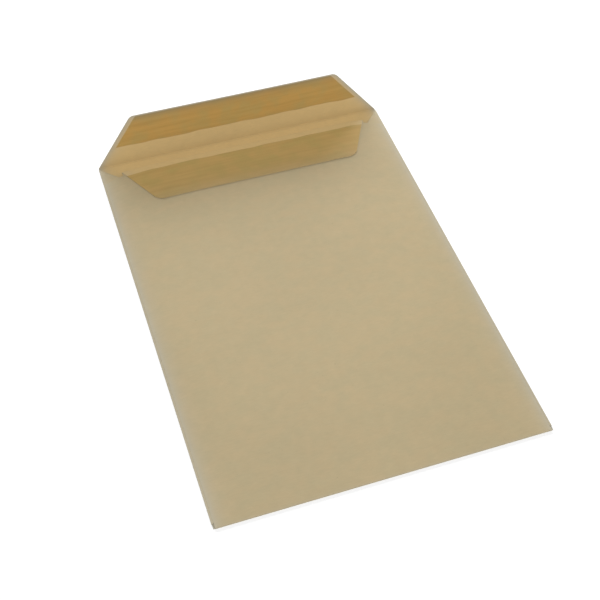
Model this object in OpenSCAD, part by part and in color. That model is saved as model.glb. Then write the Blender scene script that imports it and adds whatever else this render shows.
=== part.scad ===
// Manila pocket envelope lying on its address panel, mouth on a short side.
// The closing flap stands sprung open and a second gummed flap is folded down over the back panel.
// The paper is one die-cut blank: a grid of cells, folded panel by panel and given its thickness.
// Origin at the middle of the underside, X across, +Y towards the closing flap, +Z up, millimetres.

/* [Envelope] */
// Width across the two side folds
body_w = 229; // [110:1:330]
// Length from the bottom fold to the crease of the closing flap
body_l = 324; // [160:1:460]
// Clear height of the pocket in the middle of its mouth
mouth_gap = 5.2; // [2:0.1:10]
// How far the mouth's edge lies below the crease of the closing flap
throat = 13.2; // [6:0.1:30]

/* [Paper] */
// Thickness of the paper
paper_t = 0.12; // [0.08:0.01:0.25]
// Inside radius of the side folds and of the crease
fold_r = 0.2; // [0.12:0.02:0.5]
// Inside radius of the fold at the mouth, where the second flap turns back
mouth_fold_r = 0.16; // [0.12:0.02:0.5]
// Thickness of the glue line in the side seams
glue_t = 0.05; // [0.03:0.01:0.1]

/* [Side seams] */
// Width of the flaps that fold in from the sides, under the back panel
seam_w = 18; // [12:1:30]
// How far the back panel's cut edges lie in from the side folds
edge_inset = 1.5; // [1:0.1:3]
// Unglued margin at each edge of a seam
glue_margin = 3; // [1:0.5:4]
// Gap between the bottom fold and the lower end of a seam flap
seam_end_gap = 3; // [2:0.5:12]
// How much longer a seam flap is at its fold than at its inner edge, at its lower end
seam_bevel = 8; // [2:0.5:14]

/* [Closing flap] */
// Depth of the closing flap from its crease to its free edge
flap_d = 36.9; // [20:0.1:60]
// How far each end of the free edge lies in from the side fold
flap_inset = 31; // [10:0.5:45]
// Angle at which the closing flap stands above the panels
flap_lift = 69; // [20:1:110]
// Radius of the closing flap's corners
flap_corner_r = 2.5; // [1:0.5:8]

/* [Second flap] */
// Depth of the second flap from the mouth's fold to its free edge
second_d = 37.5; // [20:0.1:60]
// How far its fold stops short of each side fold
second_inset = 16; // [10:0.5:30]
// How much each side slants in between its fold and its free edge
second_taper = 19.5; // [2:0.5:24]
// Radius of its corners
second_corner_r = 5; // [1:0.5:10]
// How much higher above the back panel its free edge stands than its fold
second_spring = 0.1; // [0.1:0.1:4]
// Depth of the notch where the back panel's edge drops beside its fold
notch_d = 3; // [0.5:0.1:5]
// Drop of the back panel's edge between the notch and the side, for each millimetre across
notch_slope = 0.2; // [0.05:0.05:0.4]

/* [Gum] */
// Thickness of the dried gum
gum_t = 0.05; // [0.02:0.01:0.1]
// Ungummed strip of the closing flap above its crease
flap_gum_start = 13.9; // [6:0.1:16]
// Bare margin beside the gum along the closing flap's slanted sides
flap_gum_side = 3.4; // [1:0.1:6]
// Bare margin along the closing flap's free edge
flap_gum_edge = 1; // [0.5:0.1:3]
// Ungummed strip of the second flap below its fold
second_gum_start = 4.8; // [2:0.1:12]

/* [Hidden] */

// Shape of the swell: high powers keep the middle level and the rise near the folds
SIDE_POWER = 6;
END_POWER = 4;
// Steps in each half-turn fold, in the crease, in a flap's corner and along and across a panel
FOLD_STEPS = 6;
CREASE_STEPS = 4;
CORNER_STEPS = 5;
PANEL_STEPS = 14;
ACROSS_STEPS = 7;
// The seam flaps' free ends hang this far under the back panel, and start this near the crease
SEAM_SAG = 0.08;
SEAM_TOP_GAP = 2;
// Glue starts and ends this far from the bevelled ends of a seam flap
GLUE_START = 3;
GLUE_TOP_GAP = 12;
// Segments of a whole turn at the gum's rounded corners
GUM_CORNER_FN = 32;
// Two column or row positions closer than this are one
SAME = 0.01;

// Radii of the folds, at the middle of the paper
side_mid_r = fold_r + paper_t / 2;
second_mid_r = mouth_fold_r + paper_t / 2;
// Heights of the middle of the paper in each layer at the side folds
front_z = paper_t / 2;
seam_z = front_z + 2 * side_mid_r;
back_z = seam_z + paper_t + glue_t;
second_z = back_z + 2 * second_mid_r;
bottom_mid_r = (back_z - front_z) / 2;
// Rise of the back panel that leaves the stated gap at the mouth
mouth_rise = mouth_gap - (back_z - 1.5 * paper_t);

// Half widths: the panel where its side fold begins, the back panel, the second flap's fold
fold_x = body_w / 2 - fold_r - paper_t;
back_x = body_w / 2 - edge_inset;
second_x = body_w / 2 - second_inset;
seam_x = body_w / 2 - seam_w;
glue_out_x = back_x - glue_margin;
glue_in_x = seam_x + glue_margin;

// Places along the length: bottom fold, crease, mouth and the ends of the seams
bottom_y = -body_l / 2 + bottom_mid_r + paper_t / 2;
crease_setback = (fold_r + paper_t) * tan(flap_lift / 2);
crease_y = body_l / 2 - crease_setback;
mouth_y = body_l / 2 - throat - mouth_fold_r - paper_t;
notch_y = mouth_y - notch_d;
seam_low_y = bottom_y + seam_end_gap;
seam_top_y = crease_y - SEAM_TOP_GAP;
glue_low_y = seam_low_y + seam_bevel + GLUE_START;
glue_top_y = mouth_y - GLUE_TOP_GAP;
flap_len = flap_d - crease_setback;

// Height of the swell above the side folds: nothing at the folds, level at the mouth
function across(x) = 1 - pow(min(1, abs(x) / fold_x), SIDE_POWER);
function along(y) = 1 - pow(1 - max(0, min(1, (y - bottom_y) / (mouth_y - bottom_y))), END_POWER);
function swell(x, y) = mouth_rise * across(x) * along(y);

// Ascending list without repeats
function sorted(v) = len(v) < 2 ? v : let (
    p = v[0],
    low = [for (e = v) if (e < p - SAME) e],
    high = [for (e = v) if (e > p + SAME) e]
) concat(sorted(low), [p], sorted(high));
function reversed(v) = [for (k = [len(v) - 1 : -1 : 0]) v[k]];

// Steps of a flap from its fold to its free edge: how far, and what the rounded corner takes off
FAR = 0;
CORNER_LOSS = 1;
function flap_steps(d, r, marks) = concat(
    [for (s = sorted(concat([0, d - r], marks))) [s, 0]],
    [for (k = [1 : CORNER_STEPS])
        let (turn = 90 * k / CORNER_STEPS) [d - r * (1 - sin(turn)), r * (1 - cos(turn))]]
);

// A row of the grid runs across the blank. It holds its place, the outer face's direction,
// the half width of the cells up to the next row, how much the width shrinks in a flap,
// whether it takes part in the swell, the slope of a notch, whether the cells up to the next
// row have a seam flap, and that flap's bevel.
ROW_Y = 0;
ROW_Z = 1;
OUT_Y = 2;
OUT_Z = 3;
LIMIT = 4;
SHRINK = 5;
LOFTED = 6;
NOTCH = 7;
HAS_SEAM = 8;
BEVEL = 9;
function row(y, z, ny, nz, limit, shrink = 1, lofted = 0, notch = 0, seam = 0, bevel = 0) =
    [y, z, ny, nz, limit, shrink, lofted, notch, seam, bevel];

second_steps = flap_steps(second_d, second_corner_r, [second_gum_start, second_d / 2]);
second_rows = [for (s = reversed(second_steps))
    row(mouth_y - s[FAR], second_z + second_spring * s[FAR] / second_d, 0, -1, second_x,
        (second_x - second_taper * s[FAR] / second_d - s[CORNER_LOSS]) / second_x, 1)];
mouth_rows = [for (k = [FOLD_STEPS - 1 : -1 : 1])
    let (turn = 180 * k / FOLD_STEPS)
    row(mouth_y + second_mid_r * sin(turn), back_z + second_mid_r * (1 - cos(turn)),
        -sin(turn), cos(turn), second_x, 1, 1)];

panel_ys = concat(
    [bottom_y, seam_low_y],
    [for (k = [0 : PANEL_STEPS]) glue_low_y + (glue_top_y - glue_low_y) * k / PANEL_STEPS]
);
back_rows = concat(
    [row(mouth_y, back_z, 0, 1, second_x, 1, 1)],
    [row(notch_y, back_z, 0, 1, back_x, 1, 1, notch_slope)],
    [for (y = reversed(panel_ys)) row(y, back_z, 0, 1, back_x, 1, 1)]
);
bottom_rows = [for (k = [FOLD_STEPS - 1 : -1 : 1])
    let (turn = 180 * k / FOLD_STEPS)
    row(bottom_y - bottom_mid_r * sin(turn), front_z + bottom_mid_r * (1 - cos(turn)),
        -sin(turn), -cos(turn), back_x)];
top_bevel = seam_top_y - glue_top_y - GLUE_START;
front_rows = concat(
    [row(bottom_y, front_z, 0, -1, fold_x)],
    [row(seam_low_y, front_z, 0, -1, fold_x, 1, 0, 0, 1, seam_bevel)],
    [for (k = [2 : len(panel_ys) - 1]) row(panel_ys[k], front_z, 0, -1, fold_x, 1, 0, 0, 1)],
    [row(seam_top_y, front_z, 0, -1, fold_x, 1, 0, 0, 0, -top_bevel)],
    [row(crease_y, front_z, 0, -1, fold_x)]
);
crease_rows = [for (k = [1 : CREASE_STEPS - 1])
    let (turn = flap_lift * k / CREASE_STEPS)
    row(crease_y + side_mid_r * sin(turn), front_z + side_mid_r * (1 - cos(turn)),
        sin(turn), -cos(turn), fold_x)];
flap_y = crease_y + side_mid_r * sin(flap_lift);
flap_z = front_z + side_mid_r * (1 - cos(flap_lift));
flap_rows = [for (s = flap_steps(flap_len, flap_corner_r, [flap_len / 2]))
    row(flap_y + s[FAR] * cos(flap_lift), flap_z + s[FAR] * sin(flap_lift),
        sin(flap_lift), -cos(flap_lift), fold_x,
        (fold_x - flap_inset * s[FAR] / flap_len - s[CORNER_LOSS]) / fold_x)];
rows = concat(second_rows, mouth_rows, back_rows, bottom_rows, front_rows, crease_rows, flap_rows);

// Columns run along the blank: a seam flap, its side fold, the panels, and the same mirrored.
// Each holds its kind, its side and its place across or its turn round the fold.
PANEL = 0;
FOLD = 1;
SEAM = 2;
KIND = 0;
SIDE = 1;
PLACE = 2;
glue_mid_x = (glue_in_x + glue_out_x) / 2;
key_xs = [seam_x, second_x, glue_in_x, glue_mid_x, glue_out_x, back_x, fold_x];
inner_x = min(seam_x, second_x);
half_xs = sorted(concat([for (k = [1 : ACROSS_STEPS - 1]) inner_x * k / ACROSS_STEPS], key_xs));
seam_xs = [for (x = half_xs) if (x > seam_x - SAME) x];
fold_turns = [for (k = [1 : FOLD_STEPS - 1]) 180 * k / FOLD_STEPS];
columns = concat(
    [for (x = seam_xs) [SEAM, -1, -x]],
    [for (turn = reversed(fold_turns)) [FOLD, -1, turn]],
    [for (x = reversed(half_xs)) [PANEL, -1, -x]],
    [[PANEL, 1, 0]],
    [for (x = half_xs) [PANEL, 1, x]],
    [for (turn = fold_turns) [FOLD, 1, turn]],
    [for (x = reversed(seam_xs)) [SEAM, 1, x]]
);

// Middle of the paper and direction of its outer face at a crossing of the grid
function panel_mid(r, x) = let (
    px = x * r[SHRINK],
    py = r[ROW_Y] - r[NOTCH] * max(0, abs(x) - second_x)
) [px, py, r[ROW_Z] + r[LOFTED] * swell(px, py)];
function fold_mid(r, side, turn) =
    [side * (fold_x + side_mid_r * sin(turn)), r[ROW_Y], front_z + side_mid_r * (1 - cos(turn))];
function seam_mid(r, x) = let (
    inward = max(0, (fold_x - abs(x)) / (fold_x - seam_x)),
    py = r[ROW_Y] + r[BEVEL] * inward,
    sag = r[BEVEL] == 0 || inward < SAME ? 0 : SEAM_SAG
) [x, py, seam_z + swell(x, py) - sag];
function middle(r, c) =
    c[KIND] == PANEL ? panel_mid(r, c[PLACE]) :
    c[KIND] == FOLD ? fold_mid(r, c[SIDE], c[PLACE]) :
    seam_mid(r, c[PLACE]);
function outward(r, c) =
    c[KIND] == PANEL ? [0, r[OUT_Y], r[OUT_Z]] :
    c[KIND] == FOLD ? [c[SIDE] * sin(c[PLACE]), 0, -cos(c[PLACE])] :
    [0, 0, 1];

// Two points at each crossing: the outer face first, then the inner face
row_n = len(rows);
column_n = len(columns);
points = [for (r = rows, c = columns, face = [1, -1])
    middle(r, c) + face * paper_t / 2 * outward(r, c)];
function outer(i, j) = 2 * (i * column_n + j);
function inner(i, j) = outer(i, j) + 1;

// Which cells of the grid are paper
function in_grid(i, j) = i >= 0 && j >= 0 && i < row_n - 1 && j < column_n - 1;
function is_kind(kind, j) = columns[j][KIND] == kind && columns[j + 1][KIND] == kind;
function mid_x(j) = abs(columns[j][PLACE] + columns[j + 1][PLACE]) / 2;
function is_paper(i, j) =
    !in_grid(i, j) ? false :
    is_kind(PANEL, j) ? mid_x(j) < rows[i][LIMIT] :
    rows[i][HAS_SEAM] == 1;

// Which cells are glued: there a seam flap's outer face and the back panel's inner face are one
back_last = len(second_rows) + len(mouth_rows) + len(back_rows) - 1;
front_first = back_last + len(bottom_rows) + 1;
function glue_x(j) = mid_x(j) > glue_in_x && mid_x(j) < glue_out_x;
function mid_y(i) = (rows[i][ROW_Y] + rows[i + 1][ROW_Y]) / 2;
function glue_y(i) = mid_y(i) > glue_low_y && mid_y(i) < glue_top_y;
function on_back(i) = i > len(second_rows) + len(mouth_rows) && i < back_last;
function on_front(i) = i > front_first && i < front_first + len(front_rows);
function glued_seam(i, j) =
    in_grid(i, j) && is_kind(SEAM, j) && on_front(i) && glue_x(j) && glue_y(i);
function glued_back(i, j) = is_kind(PANEL, j) && on_back(i) && glue_x(j) && glue_y(i);

// The back panel's inner point above a seam flap's crossing
panel_first = len(seam_xs) + len(fold_turns);
panel_last = panel_first + 2 * len(half_xs);
right_seam_first = panel_last + len(fold_turns) + 1;
function above(i, j) = inner(
    back_last - (i - front_first),
    j < panel_first ? panel_first + len(seam_xs) - 1 - j : panel_last - (j - right_seam_first)
);

// Faces of one cell: its two sides, its cut edges, and the rim of the glue where it has one
function quad(a, b, c, d) = [[a, b, c], [a, c, d]];
function quad_back(a, b, c, d) = quad(a, d, c, b);
function cell_faces(i, j) = let (
    k = i + 1,
    l = j + 1
) concat(
    glued_seam(i, j) ? [] : quad(outer(i, j), outer(i, l), outer(k, l), outer(k, j)),
    glued_back(i, j) ? [] : quad_back(inner(i, j), inner(i, l), inner(k, l), inner(k, j)),
    is_paper(i - 1, j) ? [] : quad(outer(i, l), outer(i, j), inner(i, j), inner(i, l)),
    is_paper(k, j) ? [] : quad(outer(k, j), outer(k, l), inner(k, l), inner(k, j)),
    is_paper(i, j - 1) ? [] : quad(outer(i, j), outer(k, j), inner(k, j), inner(i, j)),
    is_paper(i, l) ? [] : quad(outer(k, l), outer(i, l), inner(i, l), inner(k, l)),
    glued_seam(i, j) ? glue_rim(i, j) : []
);
function glue_rim(i, j) = let (
    k = i + 1,
    l = j + 1
) concat(
    glued_seam(i - 1, j) ? [] : quad(outer(i, j), outer(i, l), above(i, l), above(i, j)),
    glued_seam(k, j) ? [] : quad(outer(k, l), outer(k, j), above(k, j), above(k, l)),
    glued_seam(i, j - 1) ? [] : quad(outer(k, j), outer(i, j), above(i, j), above(k, j)),
    glued_seam(i, l) ? [] : quad(outer(i, l), outer(k, l), above(k, l), above(i, l))
);

// The folded blank: address panel, seam flaps, bottom fold, back panel and both flaps
paper_faces = [for (i = [0 : row_n - 2], j = [0 : column_n - 2])
    if (is_paper(i, j)) each cell_faces(i, j)];
module envelope_paper() {
    color("#bfac86")
        polyhedron(points = points, faces = paper_faces);
}

// Dried gum on the closing flap's inner face, inside bare margins
module closing_flap_gum() {
    slant = flap_inset / flap_len;
    side_bare = flap_gum_side * sqrt(1 + slant * slant);
    low = flap_gum_start - crease_setback;
    high = flap_len - flap_gum_edge;
    low_x = fold_x - slant * low - side_bare;
    high_x = fold_x - slant * high - side_bare;
    round_r = flap_corner_r - flap_gum_edge / 2;
    color("#cda25a")
        translate([0, flap_y - paper_t / 2 * sin(flap_lift), flap_z + paper_t / 2 * cos(flap_lift)])
        rotate([flap_lift, 0, 0])
        linear_extrude(gum_t)
        offset(r = round_r, $fn = GUM_CORNER_FN)
        offset(delta = -round_r)
        polygon([[-low_x, low], [low_x, low], [high_x, high], [-high_x, high]]);
}

// Dried gum on the second flap, over its whole width, face to face with the paper's own cells
gum_rows = len([for (s = second_steps) if (s[FAR] > second_gum_start - SAME) s]);
gum_columns = [for (j = [panel_first : panel_last]) if (abs(columns[j][PLACE]) < second_x + SAME) j];
gum_n = len(gum_columns);
gum_points = [for (i = [0 : gum_rows - 1], j = gum_columns, lift = [0, gum_t])
    points[inner(i, j)] + [0, 0, lift]];
function under(i, m) = 2 * (i * gum_n + m);
function over(i, m) = under(i, m) + 1;
function gum_faces(i, m) = let (
    k = i + 1,
    l = m + 1
) concat(
    quad(under(i, m), under(i, l), under(k, l), under(k, m)),
    quad_back(over(i, m), over(i, l), over(k, l), over(k, m)),
    i > 0 ? [] : quad(under(i, l), under(i, m), over(i, m), over(i, l)),
    k < gum_rows - 1 ? [] : quad(under(k, m), under(k, l), over(k, l), over(k, m)),
    m > 0 ? [] : quad(under(i, m), under(k, m), over(k, m), over(i, m)),
    l < gum_n - 1 ? [] : quad(under(k, l), under(i, l), over(i, l), over(k, l))
);
second_gum_faces = [for (i = [0 : gum_rows - 2], m = [0 : gum_n - 2]) each gum_faces(i, m)];
module second_flap_gum() {
    color("#cba867")
        polyhedron(points = gum_points, faces = second_gum_faces);
}

envelope_paper();
closing_flap_gum();
second_flap_gum();
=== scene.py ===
"""Dress the manila pocket envelope: folded paper, dried gum films, floor, light and camera."""

from __future__ import annotations

import logging
import math
from dataclasses import dataclass, field, fields
from enum import Enum, IntEnum

import bpy
import numpy as np
from bpy.types import Material, Node, NodeSocket, NodeTree, Object
from mathutils import Matrix, Vector


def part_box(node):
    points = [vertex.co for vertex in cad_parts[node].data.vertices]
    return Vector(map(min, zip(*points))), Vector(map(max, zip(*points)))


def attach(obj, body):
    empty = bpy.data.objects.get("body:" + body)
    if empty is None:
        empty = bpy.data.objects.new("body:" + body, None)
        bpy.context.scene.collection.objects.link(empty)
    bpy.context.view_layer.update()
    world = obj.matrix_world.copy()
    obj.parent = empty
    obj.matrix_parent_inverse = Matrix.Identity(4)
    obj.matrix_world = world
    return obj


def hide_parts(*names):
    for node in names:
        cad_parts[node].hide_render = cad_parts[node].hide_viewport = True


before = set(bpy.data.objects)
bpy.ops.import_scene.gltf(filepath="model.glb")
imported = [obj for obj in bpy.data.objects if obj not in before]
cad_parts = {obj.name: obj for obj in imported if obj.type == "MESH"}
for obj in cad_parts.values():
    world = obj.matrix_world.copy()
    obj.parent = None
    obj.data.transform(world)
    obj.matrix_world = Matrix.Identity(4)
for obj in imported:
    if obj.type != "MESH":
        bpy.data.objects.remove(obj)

MM = 0.001
BODY = "root"
FLAT_MAP = "flat_blank"
# Edges that turn by more than this keep a hard line
SHARP_ANGLE = math.radians(42)
# Sockets of a colour mix: its share, its two colours and its result
MIX_SHARE, MIX_FIRST, MIX_SECOND, MIX_RESULT = 0, 6, 7, 2
# Noise values between which nearly all of a layer lies
NOISE_LOW, NOISE_HIGH = 0.3, 0.7
# Places nearer than this are one place
SAME_MM = 0.02
# Stands for no free edge near by
FAR_MM = 99.0
log = logging.getLogger("envelope")


class Side(IntEnum):
    """Faces of the paper, each with its own material slot."""

    OUTER = 0
    INNER = 1
    CUT = 2


class Layer(Enum):
    """Values kept at the vertices of a mesh, which its finishes read."""

    WEAR = "wear"
    # The gum's tint on the felt side, painted lighter: a painted glow for light through the thin paper
    STAIN_AND_GLOW = "stain_and_glow"
    # Painted shade in the crease, with a little dirt trapped there
    CREASE_SHADE = "fold"
    RIM = "rim"


class Flap(Enum):
    """The two gummed flaps."""

    CLOSING = "closing"
    SECOND = "second"


def hex_to_linear(code: str) -> tuple[float, float, float, float]:
    """Turn an sRGB hex colour into linear light.

    Args:
        code: six hex digits after a hash sign.

    Returns:
        Linear red, green and blue, and an alpha of one.
    """
    parts = [int(code[k : k + 2], 16) / 255 for k in (1, 3, 5)]
    linear = [p / 12.92 if p <= 0.04045 else ((p + 0.055) / 1.055) ** 2.4 for p in parts]
    return (*linear, 1.0)


def add_node(
    tree: NodeTree,
    kind: str,
    settings: dict[str, object] | None = None,
    values: dict[str | int, object] | None = None,
    links: dict[str | int, NodeSocket] | None = None,
) -> Node:
    """Add one shader node with its settings, socket values and incoming links.

    Args:
        tree: node tree that receives the node.
        kind: Blender's name for the type of node.
        settings: attributes of the node itself.
        values: constants for its input sockets, by name or number.
        links: sockets of other nodes that feed its input sockets, by name or number.

    Returns:
        The new node.
    """
    node = tree.nodes.new(kind)
    for key, value in (settings or {}).items():
        setattr(node, key, value)
    for key, value in (values or {}).items():
        node.inputs[key].default_value = value
    for key, socket in (links or {}).items():
        tree.links.new(socket, node.inputs[key])
    return node


def new_material(name: str) -> tuple[Material, NodeTree]:
    """Make an empty node material.

    Args:
        name: name of the material.

    Returns:
        The material and its node tree.
    """
    material = bpy.data.materials.new(name)
    material.use_nodes = True
    material.node_tree.nodes.clear()
    return material, material.node_tree


def ramp_stops(node: Node, stops: list[tuple[float, float]]) -> None:
    """Set a colour ramp to grey stops.

    Args:
        node: the colour ramp node.
        stops: position and grey level of each stop, in order.
    """
    elements = node.color_ramp.elements
    while len(elements) < len(stops):
        elements.new(0.5)
    for element, (place, grey) in zip(elements, stops):
        element.position = place
        element.color = (grey, grey, grey, 1)


@dataclass(frozen=True)
class Grain:
    """One layer of noise, whose grains have a real length and width on the flat blank."""

    long_mm: float
    wide_mm: float
    shift: tuple[float, float, float]
    detail: float
    roughness: float = 0.55

    def value(self, tree: NodeTree, flat: NodeSocket) -> NodeSocket:
        """Add the layer to a material.

        Args:
            tree: node tree of the material.
            flat: position on the flat blank, in metres.

        Returns:
            The noise value, about one half on average.
        """
        across = 1 / (self.wide_mm * MM)
        mapping = add_node(
            tree,
            "ShaderNodeMapping",
            values={"Location": self.shift, "Scale": (1 / (self.long_mm * MM), across, across)},
            links={"Vector": flat},
        )
        noise = add_node(
            tree,
            "ShaderNodeTexNoise",
            values={"Scale": 1.0, "Detail": self.detail, "Roughness": self.roughness},
            links={"Vector": mapping.outputs["Vector"]},
        )
        return noise.outputs["Fac"]


@dataclass(frozen=True)
class Surface:
    """How a finish takes the light: its relief, its range of roughness, its IOR and its shine."""

    relief_mm: float
    smooth: float
    rough: float
    ior: float
    specular: float

    def close(self, tree: NodeTree, colour: NodeSocket, relief: NodeSocket) -> None:
        """Add a finish's shader and its output.

        Args:
            tree: node tree of the material.
            colour: colour of the surface.
            relief: noise value that lifts the surface and roughens it.
        """
        rough = add_node(
            tree,
            "ShaderNodeMapRange",
            values={
                "From Min": NOISE_LOW,
                "From Max": NOISE_HIGH,
                "To Min": self.smooth,
                "To Max": self.rough,
            },
            links={"Value": relief},
        )
        bump = add_node(
            tree,
            "ShaderNodeBump",
            values={"Strength": 1.0, "Distance": self.relief_mm * MM},
            links={"Height": relief},
        )
        shader = add_node(
            tree,
            "ShaderNodeBsdfPrincipled",
            values={"IOR": self.ior, "Metallic": 0.0, "Specular IOR Level": self.specular},
            links={
                "Base Color": colour,
                "Roughness": rough.outputs["Result"],
                "Normal": bump.outputs["Normal"],
            },
        )
        add_node(tree, "ShaderNodeOutputMaterial", links={"Surface": shader.outputs["BSDF"]})


def blend_by_noise(
    tree: NodeTree,
    first: str | NodeSocket,
    second: str,
    noise: NodeSocket,
    limits: tuple[float, float],
    depth: float = 1.0,
) -> NodeSocket:
    """Mix a second colour in where a noise value is high.

    Args:
        tree: node tree of the material.
        first: hex colour, or colour so far.
        second: hex colour that is mixed in.
        noise: noise value from zero to one.
        limits: noise values where the second colour starts and where it is full.
        depth: its share where it is full.

    Returns:
        The mixed colour.
    """
    share = add_node(
        tree,
        "ShaderNodeMapRange",
        values={"From Min": limits[0], "From Max": limits[1], "To Max": depth},
        links={"Value": noise},
    )
    known = {MIX_FIRST: hex_to_linear(first)} if isinstance(first, str) else {}
    mix = add_node(
        tree,
        "ShaderNodeMix",
        {"data_type": "RGBA"},
        values={MIX_SECOND: hex_to_linear(second), **known},
        links={MIX_SHARE: share.outputs["Result"], **({} if known else {MIX_FIRST: first})},
    )
    return mix.outputs[MIX_RESULT]


def tint_by_layers(tree: NodeTree, colour: NodeSocket, tints: dict[Layer, str]) -> NodeSocket:
    """Mix colours into a finish by the values kept at the vertices.

    Args:
        tree: node tree of the material.
        colour: colour so far.
        tints: hex colour for each layer, in the order in which they are laid on.

    Returns:
        The mixed colour.
    """
    for layer, tint in tints.items():
        share = add_node(tree, "ShaderNodeAttribute", {"attribute_name": layer.value})
        mix = add_node(
            tree,
            "ShaderNodeMix",
            {"data_type": "RGBA"},
            values={MIX_SECOND: hex_to_linear(tint)},
            links={MIX_SHARE: share.outputs["Fac"], MIX_FIRST: colour},
        )
        colour = mix.outputs[MIX_RESULT]
    return colour


@dataclass(frozen=True)
class ManilaPaper:
    """Buff manila paper, 90 g per square metre, machine finished and then die cut.

    Its pulp is unbleached and short-fibred, which gives the eye a matt, slightly cloudy buff with
    darker bits of bark, and edges that go dull where the knife and hands have rubbed them.
    """

    name: str
    colour: str
    tone_colour: str
    edge_colour: str
    # The gum's tint on the felt side, painted lighter than the paper as a glow for light through the thin
    # flap
    stain_and_glow_colour: str
    cloud: Grain = Grain(7.0, 7.0, (3.1, 3.1, 3.1), 3.0)
    drift: Grain = Grain(95.0, 95.0, (8.7, 8.7, 8.7), 1.0)
    tone: Grain = Grain(13.0, 9.1, (6.4, 6.4, 6.4), 2.0)
    # Pulp fibres are 0.03 mm wide; they are drawn near 1 mm, so that the render can show their grain
    fibre: Grain = Grain(4.5, 0.9, (5.3, 5.3, 5.3), 4.0)
    bark: Grain = Grain(2.34, 1.3, (1.9, 1.9, 1.9), 2.0)
    cloud_depth: float = 0.045
    drift_depth: float = 0.05
    fibre_depth: float = 0.06
    bark_depth: float = 0.22
    bark_limits: tuple[float, float] = (0.24, 0.3)
    tone_limits: tuple[float, float] = (0.35, 0.65)
    swing_limits: tuple[float, float] = (0.25, 0.75)
    # Darkening by the painted crease shade
    crease_shade_depth: float = 0.13
    surface: Surface = Surface(0.012, 0.72, 0.84, 1.48, 0.35)

    def swing(self, tree: NodeTree, noise: NodeSocket, depth: float) -> NodeSocket:
        """Turn a noise value into a brightness factor.

        Args:
            tree: node tree of the paper.
            noise: noise value from zero to one.
            depth: full swing of the brightness.

        Returns:
            A factor round one.
        """
        low, high = self.swing_limits
        spread = add_node(
            tree,
            "ShaderNodeMapRange",
            values={"From Min": low, "From Max": high, "To Min": 1 - depth / 2, "To Max": 1 + depth / 2},
            links={"Value": noise},
        )
        return spread.outputs["Result"]

    def brightness(self, tree: NodeTree, flat: NodeSocket, fibre: NodeSocket) -> NodeSocket:
        """Multiply the factors of clouds, fibres, bits of bark and the shade in the crease.

        Args:
            tree: node tree of the paper.
            flat: position on the flat blank.
            fibre: noise value of the fibres.

        Returns:
            The brightness factor.
        """
        bits = add_node(tree, "ShaderNodeValToRGB", links={"Fac": self.bark.value(tree, flat)})
        dark, pale = self.bark_limits
        ramp_stops(bits, [(0.0, 1 - self.bark_depth), (dark, 1 - self.bark_depth / 2), (pale, 1.0)])
        # Painted shade in the crease darkens the paper
        fold = add_node(tree, "ShaderNodeAttribute", {"attribute_name": Layer.CREASE_SHADE.value})
        shade = add_node(
            tree,
            "ShaderNodeMapRange",
            values={"To Min": 1.0, "To Max": 1 - self.crease_shade_depth},
            links={"Value": fold.outputs["Fac"]},
        )
        factor = self.swing(tree, self.cloud.value(tree, flat), self.cloud_depth)
        for other in (
            self.swing(tree, self.drift.value(tree, flat), self.drift_depth),
            self.swing(tree, fibre, self.fibre_depth),
            bits.outputs["Color"],
            shade.outputs["Result"],
        ):
            product = add_node(
                tree, "ShaderNodeMath", {"operation": "MULTIPLY"}, links={0: factor, 1: other}
            )
            factor = product.outputs["Value"]
        return factor

    def material(self) -> Material:
        """Make the paper's material.

        Returns:
            A material that follows the blank's flat coordinates, its wear layer, its layer of stain with
            painted glow and its layer of painted crease shade.
        """
        material, tree = new_material(self.name)
        flat = add_node(tree, "ShaderNodeUVMap", {"uv_map": FLAT_MAP}).outputs["UV"]
        fibre = self.fibre.value(tree, flat)
        tone = self.tone.value(tree, flat)
        toned = blend_by_noise(tree, self.colour, self.tone_colour, tone, self.tone_limits)
        tints = {Layer.STAIN_AND_GLOW: self.stain_and_glow_colour, Layer.WEAR: self.edge_colour}
        tinted = tint_by_layers(tree, toned, tints)
        lit = add_node(
            tree,
            "ShaderNodeVectorMath",
            {"operation": "SCALE"},
            links={0: tinted, "Scale": self.brightness(tree, flat, fibre)},
        )
        self.surface.close(tree, lit.outputs["Vector"], fibre)
        return material


@dataclass(frozen=True)
class DriedLatexGum:
    """Natural latex gum, laid on by a roller and dried to a thin film.

    The film takes the paper's buff down to a brown amber and leaves a low sheen. Roller streaks
    run along the band, and the film is thicker and darker where its edge dried last.
    """

    name: str
    colour: str
    streak_colour: str
    thin_colour: str
    rim_colour: str
    streak: Grain = Grain(42.0, 2.6, (2.3, 4.1, 0.0), 3.0, 0.6)
    blotch: Grain = Grain(15.0, 15.0, (0.0, 0.0, 0.0), 2.0, 0.5)
    blotch_limits: tuple[float, float] = (0.42, 0.62)
    streak_limits: tuple[float, float] = (0.4, 0.75)
    streak_depth: float = 0.55
    surface: Surface = Surface(0.012, 0.54, 0.72, 1.52, 0.25)

    def material(self) -> Material:
        """Make the gum's material.

        Returns:
            A material with streaks along the band, soft blotches and a darker rim.
        """
        material, tree = new_material(self.name)
        flat = add_node(tree, "ShaderNodeUVMap", {"uv_map": FLAT_MAP}).outputs["UV"]
        streak = self.streak.value(tree, flat)
        blotch = self.blotch.value(tree, flat)
        film = blend_by_noise(tree, self.colour, self.thin_colour, blotch, self.blotch_limits)
        amber = blend_by_noise(
            tree, film, self.streak_colour, streak, self.streak_limits, self.streak_depth
        )
        rimmed = tint_by_layers(tree, amber, {Layer.RIM: self.rim_colour})
        self.surface.close(tree, rimmed, streak)
        return material


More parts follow.
